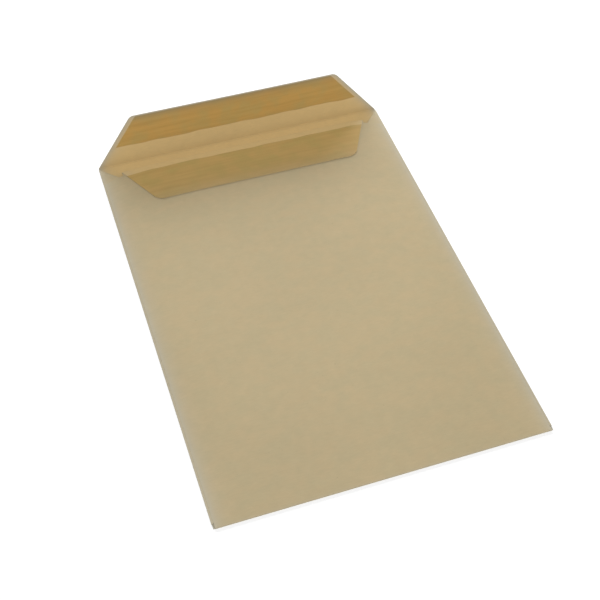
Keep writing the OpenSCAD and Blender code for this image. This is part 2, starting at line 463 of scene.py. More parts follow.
@dataclass(frozen=True)
class StudioPaper:
    """Plain white background paper, uncoated, which gives a shadow with no shine."""

    name: str = "white_background_paper"
    colour: str = "#ededed"
    seen_lift: float = 0.3

    def material(self) -> Material:
        """Make the floor's material: a little lighter to the eye than what it throws back.

        Returns:
            A matt material that keeps its shadows.
        """
        material, tree = new_material(self.name)
        sheet = add_node(tree, "ShaderNodeBsdfDiffuse", values={"Color": hex_to_linear(self.colour)})
        path = add_node(tree, "ShaderNodeLightPath")
        seen = add_node(
            tree,
            "ShaderNodeMath",
            {"operation": "MAXIMUM"},
            links={0: path.outputs["Is Camera Ray"], 1: path.outputs["Is Glossy Ray"]},
        )
        lift = add_node(
            tree,
            "ShaderNodeMath",
            {"operation": "MULTIPLY"},
            values={1: self.seen_lift},
            links={0: seen.outputs["Value"]},
        )
        glow = add_node(tree, "ShaderNodeEmission", links={"Strength": lift.outputs["Value"]})
        both = add_node(
            tree, "ShaderNodeAddShader", links={0: sheet.outputs["BSDF"], 1: glow.outputs["Emission"]}
        )
        add_node(tree, "ShaderNodeOutputMaterial", links={"Surface": both.outputs["Shader"]})
        return material


@dataclass
class MeshParts:
    """Vertices, quads and layers of a mesh in the making, in millimetres."""

    points: list[np.ndarray] = field(default_factory=list)
    flat: list[np.ndarray] = field(default_factory=list)
    layers: dict[Layer, list[np.ndarray]] = field(default_factory=dict)
    quads: list[np.ndarray] = field(default_factory=list)
    sides: list[np.ndarray] = field(default_factory=list)
    count: int = 0

    def add_points(
        self, points: np.ndarray, flat: np.ndarray, layers: dict[Layer, np.ndarray]
    ) -> np.ndarray:
        """Add a block of vertices.

        Args:
            points: places of the vertices, shaped (..., 3).
            flat: their places on the flat blank, shaped (..., 2).
            layers: a value for each vertex in each layer.

        Returns:
            The new vertices' numbers, shaped as the block.
        """
        shape = points.shape[:-1]
        total = int(np.prod(shape))
        self.points.append(points.reshape(-1, 3))
        self.flat.append(flat.reshape(-1, 2))
        for layer, value in layers.items():
            self.layers.setdefault(layer, []).append(np.broadcast_to(value, shape).reshape(-1))
        numbers = np.arange(self.count, self.count + total).reshape(shape)
        self.count += total
        return numbers

    def add_quads(self, corners: list[np.ndarray], side: Side) -> None:
        """Add quads.

        Args:
            corners: four arrays of vertex numbers, in order round each quad.
            side: which face of the paper they belong to.
        """
        quads = np.stack([c.ravel() for c in corners], 1)
        self.quads.append(quads)
        self.sides.append(np.full(len(quads), int(side)))

    def build(self, name: str, materials: list[Material]) -> Object:
        """Make the object, with only the vertices that its faces use.

        Args:
            name: name of the piece.
            materials: one for each side that occurs, in the order of Side.

        Returns:
            The new object, smooth but for its sharp edges.
        """
        quads = np.concatenate(self.quads)
        used, renumbered = np.unique(quads, return_inverse=True)
        quads = renumbered.reshape(quads.shape)
        points = np.concatenate(self.points)[used] * MM
        flat = np.concatenate(self.flat)[used] * MM
        mesh = bpy.data.meshes.new(name)
        mesh.from_pydata(points.tolist(), [], quads.tolist())
        mesh.polygons.foreach_set("material_index", np.concatenate(self.sides))
        mesh.polygons.foreach_set("use_smooth", np.ones(len(quads), bool))
        mesh.uv_layers.new(name=FLAT_MAP).data.foreach_set("uv", flat[quads.ravel()].ravel())
        for layer, blocks in self.layers.items():
            attribute = mesh.attributes.new(layer.value, "FLOAT", "POINT")
            attribute.data.foreach_set("value", np.concatenate(blocks)[used].astype(np.float32))
        mesh.update()
        mesh.set_sharp_from_angle(angle=SHARP_ANGLE)
        for material in materials:
            mesh.materials.append(material)
        piece = bpy.data.objects.new(name, mesh)
        bpy.context.scene.collection.objects.link(piece)
        return piece


def cells(numbers: np.ndarray, reverse: bool, keep: np.ndarray | None = None) -> list[np.ndarray]:
    """Return the corners of the cells between the rows and columns of a block of vertices.

    Args:
        numbers: vertex numbers, a row for each row of the grid.
        reverse: whether the cells face the other way.
        keep: which cells are wanted, or nothing for all.

    Returns:
        Four arrays of vertex numbers.
    """
    a, b, c, d = numbers[:-1, :-1], numbers[1:, :-1], numbers[1:, 1:], numbers[:-1, 1:]
    corners = [a, d, c, b] if reverse else [a, b, c, d]
    return corners if keep is None else [k[keep] for k in corners]


def ring(block: np.ndarray) -> np.ndarray:
    """Return a block's border vertices in order, with the first again at the end."""
    return np.concatenate([block[0], block[1:, -1], block[-1, -2::-1], block[-2::-1, 0]])


def spaced(low: float, high: float, step: float) -> np.ndarray:
    """Return places from low to high, both included, about a step apart."""
    return np.linspace(low, high, max(2, round(abs(high - low) / step) + 1))


def merged(*groups: np.ndarray, gap: float = 0.04) -> np.ndarray:
    """Return the places of all groups in order, without near repeats."""
    places = np.sort(np.concatenate([np.atleast_1d(g) for g in groups]))
    return places[np.concatenate([[True], np.diff(places) > gap])]


def corner_loss(distance: np.ndarray, radius: float) -> np.ndarray:
    """Return how much a rounded corner takes off a flap's half width near its free edge."""
    inside = np.clip(radius - distance, 0, radius)
    return radius - np.sqrt(radius * radius - inside * inside)


@dataclass(frozen=True)
class Wave:
    """One slow wave of the paper or of a film's edge: its share, lengths and phase."""

    share: float
    across_mm: float
    phase: float
    along_mm: float = math.inf

    def height(self, x: np.ndarray, y: np.ndarray | float = 0.0) -> np.ndarray:
        """Return the wave's height at a place across and along."""
        return self.share * np.sin(x / self.across_mm + y / self.along_mm + self.phase)


@dataclass(frozen=True)
class BlankSizes:
    """Sizes of the folded blank in millimetres, as the real one has them."""

    body_w: float
    body_l: float
    mouth_gap: float = 5.2
    throat: float = 13.2
    paper_t: float = 0.12
    fold_r: float = 0.2
    mouth_fold_r: float = 0.16
    glue_t: float = 0.05
    seam_w: float = 18.0
    edge_inset: float = 1.5
    seam_end_gap: float = 3.0
    seam_top_gap: float = 2.0
    seam_bevel: float = 8.0
    glue_start: float = 3.0
    glue_top_gap: float = 12.0
    flap_d: float = 36.9
    flap_inset: float = 31.0
    flap_lift: float = math.radians(69)
    flap_corner_r: float = 2.5
    second_d: float = 37.5
    second_inset: float = 16.0
    second_taper: float = 19.5
    second_corner_r: float = 5.0
    second_spring: float = 0.1
    notch_d: float = 3.0
    notch_slope: float = 0.2
    gum_t: float = 0.05
    flap_gum_start: float = 13.9
    flap_gum_side: float = 3.4
    flap_gum_edge: float = 1.0
    second_gum_start: float = 4.8
    second_gum_edge: float = 0.15


@dataclass
class Row:
    """One row of the grid across the blank.

    It holds its place, its outer face's direction, the half width of the cells up to the next row
    and how much a flap narrows it, its share in the swell, the slope of a notch, its place on the
    flat blank, how far it lies from a springy flap's fold and from the flap's free edge, how much
    stain with painted glow and how much painted crease shade its inner face takes, and how rubbed
    and handled its paper is.
    """

    y: float
    z: float
    ny: float
    nz: float
    limit: float
    shrink: float = 1.0
    lofted: float = 0.0
    notch: float = 0.0
    flat_y: float = 0.0
    spring: float = 0.0
    bow: float = 0.0
    free: float = FAR_MM
    stain_and_glow: float = 0.0
    rub: float = 0.0
    handled: float = 1.0
    fold: float = 0.0


def on_arc(
    start: tuple[float, float], radius: float, turn: float, face: int = 1
) -> tuple[float, float, float, float]:
    """Work out a place on a fold and the direction of the paper's outer face there.

    Args:
        start: Y and Z where the fold leaves its lower panel.
        radius: radius at the middle of the paper, negative where the fold bulges towards -Y.
        turn: angle from the start.
        face: 1 where the outer face is on the outside of the fold, or -1.

    Returns:
        Y and Z of the place, and Y and Z of the direction.
    """
    y = start[0] + radius * math.sin(turn)
    z = start[1] + abs(radius) * (1 - math.cos(turn))
    return y, z, face * math.copysign(math.sin(turn), radius), -face * math.cos(turn)


@dataclass
class FoldedBlank:
    """The paper of the envelope: one blank, folded panel by panel and given its thickness."""

    sizes: BlankSizes
    side_power: float = 6.0
    end_power: float = 4.0
    # Steps of the grid along and across, and extra places near folds and cut edges
    panel_step: float = 2.6
    across_step: float = 3.2
    flap_step: float = 2.0
    fold_steps: int = 10
    crease_steps: int = 8
    corner_steps: int = 10
    bottom_places: tuple[float, ...] = (0.0, 0.4, 0.9, 1.6, 2.6)
    edge_places: tuple[float, ...] = (0.0, 0.4, 0.9, 1.6, 2.8)
    side_places: tuple[float, ...] = (0.25, 0.6)
    flap_places: tuple[float, ...] = (0.0, 0.5, 1.2)
    notch_margin: float = 6.0
    side_margin: float = 3.0
    # Waves that the sheet keeps from the fold rollers, held flat within these distances of its folds
    ripple_mm: float = 0.16
    ripples: tuple[Wave, ...] = (
        Wave(1.0, 31, 0.7, 58),
        Wave(0.8, 47, 2.1, -39),
        Wave(0.6, -23, 4.4, 83),
        Wave(0.5, 66, 5.2, 27),
    )
    hold_side_mm: float = 30.0
    hold_end_mm: float = 40.0
    # Step that a seam flap's edge prints through the back panel
    seam_print_mm: float = 0.07
    seam_print_run_mm: float = 1.2
    # Closing flap's bow at its free edge, and how the second flap's spring varies along its edge
    bow_mm: float = 0.2
    bows: tuple[Wave, ...] = (Wave(0.12, 29, 1.3), Wave(0.08, 61, -0.4))
    spring_wave: Wave = Wave(0.18, 24, 0.6 + math.pi / 2)
    spring_corner: float = 0.35
    spring_power: int = 4
    # Seam flaps: run of their slanted ends, their sag below the back panel and its run inward
    low_slant_run: float = 28.0
    top_slant_run: float = 40.0
    seam_sag: float = 0.03
    seam_sag_run: float = 8.0
    # Wear: rubbed bands along cut edges and folds, and how rubbed each fold and the second flap are
    edge_band_mm: float = 3.8
    seam_band_mm: float = 3.0
    seam_wear: float = 0.9
    mouth_rub: float = 0.35
    bottom_rub: float = 0.4
    back_rub: float = 0.3
    back_rub_mm: float = 0.7
    second_handled: float = 0.3
    # Reach of the painted crease shade into the address panel and into the flap, and of the start of the
    # stain with its painted glow
    crease_shade_mm: tuple[float, float] = (1.6, 4.0)
    stain_and_glow_run: float = 8.0
    # Shift of the seam flaps on the flat blank, so that their grain differs from the panels'
    seam_shift: float = 40.0

    def __post_init__(self) -> None:
        """Work out the folds' places and the layers' heights."""
        s = self.sizes
        self.side_mid_r = s.fold_r + s.paper_t / 2
        self.second_mid_r = s.mouth_fold_r + s.paper_t / 2
        self.front_z = s.paper_t / 2
        self.seam_z = self.front_z + 2 * self.side_mid_r
        self.back_z = self.seam_z + s.paper_t + s.glue_t
        self.second_z = self.back_z + 2 * self.second_mid_r
        self.bottom_mid_r = (self.back_z - self.front_z) / 2
        self.mouth_rise = s.mouth_gap - (self.back_z - self.front_z - s.paper_t)
        self.fold_x = s.body_w / 2 - s.fold_r - s.paper_t
        self.back_x = s.body_w / 2 - s.edge_inset
        self.second_x = s.body_w / 2 - s.second_inset
        self.seam_x = s.body_w / 2 - s.seam_w
        self.bottom_y = -s.body_l / 2 + self.bottom_mid_r + s.paper_t / 2
        self.setback = (s.fold_r + s.paper_t) * math.tan(s.flap_lift / 2)
        self.crease_y = s.body_l / 2 - self.setback
        self.mouth_y = s.body_l / 2 - s.throat - s.mouth_fold_r - s.paper_t
        self.notch_y = self.mouth_y - s.notch_d
        self.seam_low_y = self.bottom_y + s.seam_end_gap
        self.seam_top_y = self.crease_y - s.seam_top_gap
        self.glue_top_y = self.mouth_y - s.glue_top_gap
        self.flap_len = s.flap_d - self.setback
        self.flap_y, self.flap_z, self.flap_ny, self.flap_nz = on_arc(
            (self.crease_y, self.front_z), self.side_mid_r, s.flap_lift
        )

    def ripple(self, x: np.ndarray, y: np.ndarray) -> np.ndarray:
        """Work out the slow waves of a sheet, fading at its folds.

        Args:
            x: places across the envelope.
            y: places along it.

        Returns:
            Heights of the waves.
        """
        near_side = np.clip((self.fold_x - np.abs(x)) / self.hold_side_mm, 0, 1)
        near_end = np.clip((y - self.bottom_y) / self.hold_end_mm, 0, 1)
        hold = near_side * near_end
        return self.ripple_mm * sum(w.height(x, y) for w in self.ripples) * hold * hold * (3 - 2 * hold)

    def seam_print(self, x: np.ndarray) -> np.ndarray:
        """Return the faint step that a seam flap's edge prints through the back panel."""
        return -self.seam_print_mm / (1 + np.exp((np.abs(x) - self.seam_x) / self.seam_print_run_mm))

    def swell(self, x: np.ndarray, y: np.ndarray) -> np.ndarray:
        """Work out the swell of the back panel, with its ripples.

        Args:
            x: places across the envelope.
            y: places along it.

        Returns:
            Heights above the layer at the side folds: none at the folds, level at the mouth.
        """
        across = 1 - np.minimum(1, np.abs(x) / self.fold_x) ** self.side_power
        reach = np.clip((y - self.bottom_y) / (self.mouth_y - self.bottom_y), 0, 1)
        share = across * (1 - (1 - reach) ** self.end_power)
        return share * (self.mouth_rise + self.ripple(x, y) + self.seam_print(x))

    def flap_bow(self, x: np.ndarray, d: np.ndarray) -> np.ndarray:
        """Return how far the closing flap bows towards the mouth, level with the ground."""
        share = d / self.flap_len
        return share * share * (self.bow_mm + sum(w.height(x) for w in self.bows))

    def second_spring(self, x: np.ndarray, d: np.ndarray) -> np.ndarray:
        """Work out how far the second flap has sprung up, a little more at its corners.

        Args:
            x: places across the envelope.
            d: distances from the flap's fold.

        Returns:
            Heights above the flap's flat place.
        """
        share = d / self.sizes.second_d
        corner = self.spring_corner * (x / self.second_x) ** self.spring_power
        return self.sizes.second_spring * share * (1 - self.spring_wave.height(x) * share + corner)

    def second_half(self, d: np.ndarray) -> np.ndarray:
        """Return the second flap's half width at a distance from its fold."""
        straight = self.second_x - self.sizes.second_taper * d / self.sizes.second_d
        return straight - corner_loss(self.sizes.second_d - d, self.sizes.second_corner_r)

    def flap_half(self, d: np.ndarray) -> np.ndarray:
        """Return the closing flap's half width at a distance from its crease."""
        straight = self.fold_x - self.sizes.flap_inset * d / self.flap_len
        return straight - corner_loss(self.flap_len - d, self.sizes.flap_corner_r)

    def second_mid(self, x: np.ndarray, d: np.ndarray) -> np.ndarray:
        """Work out points on the middle of the second flap's paper.

        Args:
            x: places across the envelope.
            d: distances from the flap's fold.

        Returns:
            Points, shaped (..., 3).
        """
        y = self.mouth_y - d
        z = self.second_z + self.second_spring(x, d) + self.swell(x, y)
        return np.stack(np.broadcast_arrays(x, y, z), -1)

    def flap_mid(self, x: np.ndarray, d: np.ndarray) -> np.ndarray:
        """Work out points on the middle of the closing flap's paper.

        Args:
            x: places across the envelope.
            d: distances from the start of the flap above its crease.

        Returns:
            Points, shaped (..., 3).
        """
        y = self.flap_y + d * math.cos(self.sizes.flap_lift) - self.flap_bow(x, d)
        z = self.flap_z + d * math.sin(self.sizes.flap_lift)
        return np.stack(np.broadcast_arrays(x, y, z), -1)

    def flap_steps(self, depth: float, radius: float) -> np.ndarray:
        """Work out the rows of a flap, close together at its fold and its rounded corners.

        Args:
            depth: depth of the flap.
            radius: radius of its corners.

        Returns:
            Distances from the fold.
        """
        turns = np.linspace(0, math.pi / 2, self.corner_steps + 1)
        straight = spaced(self.flap_places[-1], depth - radius, self.flap_step)
        return merged(self.flap_places, straight, depth - radius * (1 - np.sin(turns)))

    def panel_ys(self) -> np.ndarray:
        """Return the places along the panels that the seams and both panels share."""
        near = self.bottom_y + np.array(self.bottom_places)
        return merged(near, self.seam_low_y, spaced(self.seam_low_y, self.glue_top_y, self.panel_step))

    def half_xs(self) -> np.ndarray:
        """Work out the columns of one half of the panels, closer together near the sides.

        Returns:
            Places across, from the middle outward.
        """
        edge = np.array(self.edge_places)
        return merged(
            spaced(0, self.fold_x - self.side_margin, self.across_step),
            self.back_x - edge,
            self.second_x - edge[:-1],
            self.fold_x - np.array(self.side_places),
            [self.seam_x, self.fold_x],
        )

    def second_rows(self) -> list[Row]:
        """Work out the second flap's rows from its free edge, and those of its fold.

        Returns:
            The rows, down to the back panel's edge at the mouth.
        """
        s = self.sizes
        start = self.bottom_y - self.mouth_y
        # The second flap's inner face takes the stain with its painted glow, full on the flap and ramping in
        # round its fold
        rows = [
            Row(
                self.mouth_y - d,
                self.second_z,
                0,
                -1,
                self.second_x,
                self.second_half(d) / self.second_x,
                lofted=1,
                flat_y=start - d,
                spring=d,
                free=s.second_d - d,
                stain_and_glow=1,
                handled=self.second_handled,
            )
            for d in self.flap_steps(s.second_d, s.second_corner_r)[::-1]
        ]
        for turn in np.linspace(math.pi, 0, self.fold_steps + 1)[1:]:
            rows.append(
                Row(
                    *on_arc((self.mouth_y, self.back_z), self.second_mid_r, turn, -1),
                    self.second_x,
                    lofted=1,
                    flat_y=start,
                    stain_and_glow=0.5 - 0.5 * math.cos(turn),
                    rub=self.mouth_rub,
                    handled=self.second_handled,
                )
            )
        return rows

    def back_rows(self) -> list[Row]:
        """Work out the back panel's rows from its notches down, and those of the bottom fold.

        Returns:
            The rows, up to the address panel.
        """
        rows = [
            Row(
                self.notch_y,
                self.back_z,
                0,
                1,
                self.back_x,
                lofted=1,
                notch=self.sizes.notch_slope,
                flat_y=self.bottom_y - self.notch_y,
            )
        ]
        ys = self.panel_ys()
        for y in merged(ys, spaced(ys[-1], self.notch_y - self.notch_margin, self.panel_step))[::-1]:
            rub = self.back_rub * math.exp(-(y - self.bottom_y) / self.back_rub_mm)
            rows.append(
                Row(y, self.back_z, 0, 1, self.back_x, lofted=1, flat_y=self.bottom_y - y, rub=rub)
            )
        for turn in np.linspace(math.pi, 0, self.fold_steps + 1)[1:-1]:
            arc = on_arc((self.bottom_y, self.front_z), -self.bottom_mid_r, turn)
            rows.append(Row(*arc, self.back_x, rub=self.bottom_rub))
        return rows

    def front_rows(self) -> list[Row]:
        """Work out the address panel's rows.

        Returns:
            The rows, from the bottom fold to the crease.
        """
        ys = self.panel_ys()
        rows = []
        for y in merged(ys, [self.seam_top_y, self.crease_y], spaced(ys[-1], self.crease_y, self.panel_step)):
            # Stain with painted glow on the inner face, from the mouth towards the crease
            stain_and_glow = float(np.clip((y - self.mouth_y) / self.stain_and_glow_run + 0.5, 0, 1))
            # Painted shade that fades from the crease into the address panel
            fold = math.exp(-(self.crease_y - y) / self.crease_shade_mm[0])
            flat_y = y - self.bottom_y
            rows.append(Row(y, self.front_z, 0, -1, self.fold_x, flat_y=flat_y, stain_and_glow=stain_and_glow, fold=fold))
        return rows

    def flap_rows(self) -> list[Row]:
        """Work out the rows of the crease and the closing flap.

        Returns:
            The rows, up to the closing flap's free edge.
        """
        s = self.sizes
        start = self.crease_y - self.bottom_y
        rows = []
        # Crease and closing flap take the full stain with its painted glow, and painted shade that is full
        # round the crease and fades up the flap
        for share in np.linspace(0, 1, self.crease_steps + 1)[1:-1]:
            arc = on_arc((self.crease_y, self.front_z), self.side_mid_r, s.flap_lift * share)
            rows.append(Row(*arc, self.fold_x, flat_y=start, stain_and_glow=1, fold=1))
        for d in self.flap_steps(self.flap_len, s.flap_corner_r):
            rows.append(
                Row(
                    self.flap_y + d * math.cos(s.flap_lift),
                    self.flap_z + d * math.sin(s.flap_lift),
                    self.flap_ny,
                    self.flap_nz,
                    self.fold_x,
                    self.flap_half(d) / self.fold_x,
                    flat_y=start + d,
                    bow=d,
                    free=self.flap_len - d,
                    stain_and_glow=1,
                    fold=math.exp(-((d / self.crease_shade_mm[1]) ** 2)),
                )
            )
        return rows

    def build(self, materials: list[Material]) -> Object:
        """Build the paper as one closed mesh.

        Args:
            materials: outer face, inner face and cut edge, in that order.

        Returns:
            The paper's object.
        """
        parts = MeshParts()
        behind = self.second_rows() + self.back_rows()
        rows = behind + self.front_rows() + self.flap_rows()
        half = self.half_xs()
        xs = np.concatenate([-half[::-1], half[1:]])
        panel, keep = self.add_panels(parts, rows, xs)
        ys = np.array([row.y for row in rows])
        ys[: len(behind)] = math.inf
        first, last = (int(np.argmin(np.abs(ys - y))) for y in (self.seam_low_y, self.seam_top_y))
        self.add_seams(parts, ys[first : last + 1], xs, panel[:, first : last + 1])
        self.add_cut_edges(parts, panel, keep, slice(first, last))
        return parts.build("folded_manila_paper", materials)

    def add_panels(
        self, parts: MeshParts, rows: list[Row], xs: np.ndarray
    ) -> tuple[np.ndarray, np.ndarray]:
        """Add the panels and both flaps.

        Args:
            parts: mesh in the making.
            rows: rows of the grid.
            xs: places of the columns.

        Returns:
            Vertex numbers, shaped (2, rows, columns), outer face first, and which cells are paper.
        """
        col = {f.name: np.array([getattr(row, f.name) for row in rows])[:, None] for f in fields(Row)}
        px = xs * col["shrink"]
        py = col["y"] - col["notch"] * np.maximum(0, np.abs(xs) - self.second_x)
        pz = col["z"] + col["lofted"] * self.swell(px, py) + self.second_spring(px, col["spring"])
        middle = np.stack([px, py - self.flap_bow(px, col["bow"]), pz], -1)
        outward = np.stack(np.broadcast_arrays(0.0, col["ny"], col["nz"] + 0 * px), -1)
        flat = np.stack(np.broadcast_arrays(px, col["flat_y"]), -1)
        near = np.minimum(np.maximum(0, col["limit"] * col["shrink"] - np.abs(px)), col["free"])
        wear = np.clip(np.maximum(col["handled"] * np.exp(-near / self.edge_band_mm), col["rub"]), 0, 1)
        blocks = []
        # Only the inner face takes the stain with its painted glow and the painted crease shade
        for face, marked in ((1, 0.0), (-1, 1.0)):
            layers = {Layer.WEAR: wear, Layer.STAIN_AND_GLOW: marked * col["stain_and_glow"], Layer.CREASE_SHADE: marked * col["fold"]}
            points = middle + face * self.sizes.paper_t / 2 * outward
            blocks.append(parts.add_points(points, flat, layers))
        keep = np.abs(xs[:-1] + xs[1:]) / 2 < col["limit"][:-1]
        parts.add_quads(cells(blocks[0], False, keep), Side.OUTER)
        parts.add_quads(cells(blocks[1], True, keep), Side.INNER)
        return np.stack(blocks), keep

    def add_seams(self, parts: MeshParts, ys: np.ndarray, xs: np.ndarray, panel: np.ndarray) -> None:
        """Add the side folds and the seam flaps, with the seam flaps' cut edges.

        Args:
            parts: mesh in the making.
            ys: places of the rows that have seam flaps.
            xs: places of the panels' columns.
            panel: the panels' vertex numbers in those rows, outer face first.
        """
        turns = np.linspace(0, math.pi, self.fold_steps + 1)[1:-1]
        seam_xs = xs[xs > self.seam_x - SAME_MM][::-1]
        inward = self.fold_x - seam_xs
        y = ys[:, None]
        bevel = self.bevel(y, inward)
        sag = self.seam_sag * np.clip(inward / self.seam_sag_run, 0, 1)
        for side in (-1, 1):
            seam_x = side * seam_xs
            seam_z = self.seam_z + self.swell(seam_x, bevel) - sag
            folded = np.broadcast_arrays(
                side * (self.fold_x + self.side_mid_r * np.sin(turns)),
                y,
                self.front_z + self.side_mid_r * (1 - np.cos(turns)),
                side * np.sin(turns),
                -np.cos(turns),
                self.seam_wear,
            )
            flap_wear = self.seam_wear * np.exp(-inward / self.seam_band_mm)
            tucked = np.broadcast_arrays(seam_x, bevel, seam_z, 0.0, 1.0, flap_wear)
            px, py, pz, nx, nz, wear = (np.concatenate(pair, 1) for pair in zip(folded, tucked))
            middle = np.stack([px, py, pz], -1)
            outward = np.stack([nx, 0 * nx, nz], -1)
            flat = np.stack([px + side * self.seam_shift, py - self.bottom_y], -1)
            layers = {Layer.WEAR: wear, Layer.STAIN_AND_GLOW: 0 * wear, Layer.CREASE_SHADE: 0 * wear}
            edge = panel[:, :, -1 if side > 0 else 0]
            blocks = []
            for face, start in zip((1, -1), edge):
                added = parts.add_points(middle + face * self.sizes.paper_t / 2 * outward, flat, layers)
                blocks.append(np.concatenate([start[:, None], added], 1))
            parts.add_quads(cells(blocks[0], side < 0), Side.OUTER)
            parts.add_quads(cells(blocks[1], side > 0), Side.INNER)
            self.add_rim(parts, blocks[0], blocks[1], side < 0)

    def bevel(self, y: np.ndarray, inward: np.ndarray) -> np.ndarray:
        """Slant a seam flap's two ends, which its inner edge is shorter by.

        Args:
            y: places of its rows at the side fold, as a column.
            inward: distances of its columns from the side fold.

        Returns:
            Places along of its crossings.
        """
        share = inward / (self.fold_x - self.seam_x)
        low, high = y[0, 0], y[-1, 0]
        top_bevel = high - self.glue_top_y - self.sizes.glue_start
        start = np.clip(1 - (y - low) / self.low_slant_run, 0, 1)
        end = np.clip(1 - (high - y) / self.top_slant_run, 0, 1)
        return y + self.sizes.seam_bevel * share * start - top_bevel * share * end

    def add_rim(self, parts: MeshParts, outer: np.ndarray, inner: np.ndarray, flip: bool) -> None:
        """Close a seam flap's three cut edges.

        Args:
            parts: mesh in the making.
            outer: vertex numbers of its outer face.
            inner: vertex numbers of its inner face.
            flip: whether the flap is the left one.
        """
        for edge, reverse in (
            ((outer[:, -1], inner[:, -1]), flip),
            ((outer[0], inner[0]), flip),
            ((outer[-1], inner[-1]), not flip),
        ):
            parts.add_quads(cells(np.stack(edge, 1), reverse), Side.CUT)

    def add_cut_edges(
        self, parts: MeshParts, panel: np.ndarray, keep: np.ndarray, seams: slice
    ) -> None:
        """Close every cut edge of the panels and flaps, but not where a seam flap goes on.

        Args:
            parts: mesh in the making.
            panel: the panels' vertex numbers, outer face first.
            keep: which cells are paper.
            seams: rows that have seam flaps.
        """
        outer, inner = panel
        padded = np.pad(keep, 1)
        left = keep & ~padded[1:-1, :-2]
        right = keep & ~padded[1:-1, 2:]
        before = keep & ~padded[:-2, 1:-1]
        after = keep & ~padded[2:, 1:-1]
        left[seams, 0] = False
        right[seams, -1] = False
        low, high = slice(None, -1), slice(1, None)
        for mask, start, end in (
            (left, (high, low), (low, low)),
            (right, (low, high), (high, high)),
            (before, (low, low), (low, high)),
            (after, (high, high), (high, low)),
        ):
            ring_of_four = [outer[start], outer[end], inner[end], inner[start]]
            parts.add_quads([corner[mask] for corner in ring_of_four], Side.CUT)


@dataclass
class GumFilm:
    """A band of dried gum that lies on the inner face of a flap."""

    name: str
    blank: FoldedBlank
    flap: Flap
    low: float
    high: float
    side_bare: float
    # Darker rim along the free edge and, fainter, all round
    free_rim_mm: float = 2.4
    free_rim_share: float = 0.95
    rim_mm: float = 0.9
    rim_share: float = 0.2
    # Wavering of the edge near the fold, which the roller leaves
    waver_mm: float = 0.22
    wavers: tuple[Wave, ...] = (Wave(1.0, 5.3, 1.1), Wave(0.7, 11.7, 2.9), Wave(0.5, 2.9, 0.0))
    # Crown: share of the thickness at the border, and the run up to the full thickness
    border_share: float = 0.35
    crown_run_mm: float = 0.5
    # Depth of the film's underside in the paper, and the steps of its grid
    sunk_mm: float = 0.012
    step: float = 1.6
    usual_half: float = 85.0
    border_places: tuple[float, ...] = (0.0, 0.25, 0.6, 1.0)
    border_columns: tuple[float, ...] = (-0.995, -0.985, 0.985, 0.995)
    share_gap: float = 0.002
    # Shift on the flat blank, so that its streaks differ from the paper's grain
    shift: float = 300.0

    def half(self, d: np.ndarray) -> np.ndarray:
        """Return the film's half width at a distance from the flap's fold."""
        flap = self.blank.flap_half(d) if self.flap is Flap.CLOSING else self.blank.second_half(d)
        return flap - self.side_bare

    def inward(self) -> np.ndarray:
        """Return the direction that the flap's gummed face looks in."""
        ny, nz = (self.blank.flap_ny, self.blank.flap_nz) if self.flap is Flap.CLOSING else (0.0, -1.0)
        return np.array([0.0, -ny, -nz])

    def build(self, material: Material) -> Object:
        """Build the film as one closed mesh.

        Args:
            material: the gum's material.

        Returns:
            The film's object.
        """
        border = np.array(self.border_places)
        middle = spaced(self.low + border[-1], self.high - border[-1], self.step)
        d = merged(self.low + border, middle, self.high - border)[:, None]
        share = merged(spaced(-1, 1, self.step / self.usual_half), self.border_columns, gap=self.share_gap)
        x = share * self.half(d)
        away = np.clip((self.high - d) / (self.high - self.low), 0, 1)
        d = d + self.waver_mm * sum(w.height(x) for w in self.wavers) * away * away
        near = np.minimum(np.abs(d - self.low), np.abs(self.high - d))
        near = np.minimum(near, np.abs((1 - np.abs(share)) * self.half(d)))
        crown = self.border_share + (1 - self.border_share) * np.sqrt(np.clip(near / self.crown_run_mm, 0, 1))
        free_rim = self.free_rim_share * np.exp(-np.abs(self.high - d) / self.free_rim_mm)
        rim = np.maximum(self.rim_share * np.exp(-near / self.rim_mm), free_rim)
        flat = np.stack(np.broadcast_arrays(x, d + self.shift), -1)
        base = self.blank.flap_mid(x, d) if self.flap is Flap.CLOSING else self.blank.second_mid(x, d)
        base = base + self.blank.sizes.paper_t / 2 * self.inward()
        parts = MeshParts()
        top = base + (self.blank.sizes.gum_t * crown)[..., None] * self.inward()
        above = parts.add_points(top, flat, {Layer.RIM: rim})
        below = parts.add_points(base - self.sunk_mm * self.inward(), flat, {Layer.RIM: rim})
        flip = self.flap is Flap.CLOSING
        band = np.stack([ring(below), ring(above)])
        for block, reverse in ((above, flip), (below, not flip), (band, flip)):
            parts.add_quads(cells(block, reverse), Side.OUTER)
        return parts.build(self.name, [material])


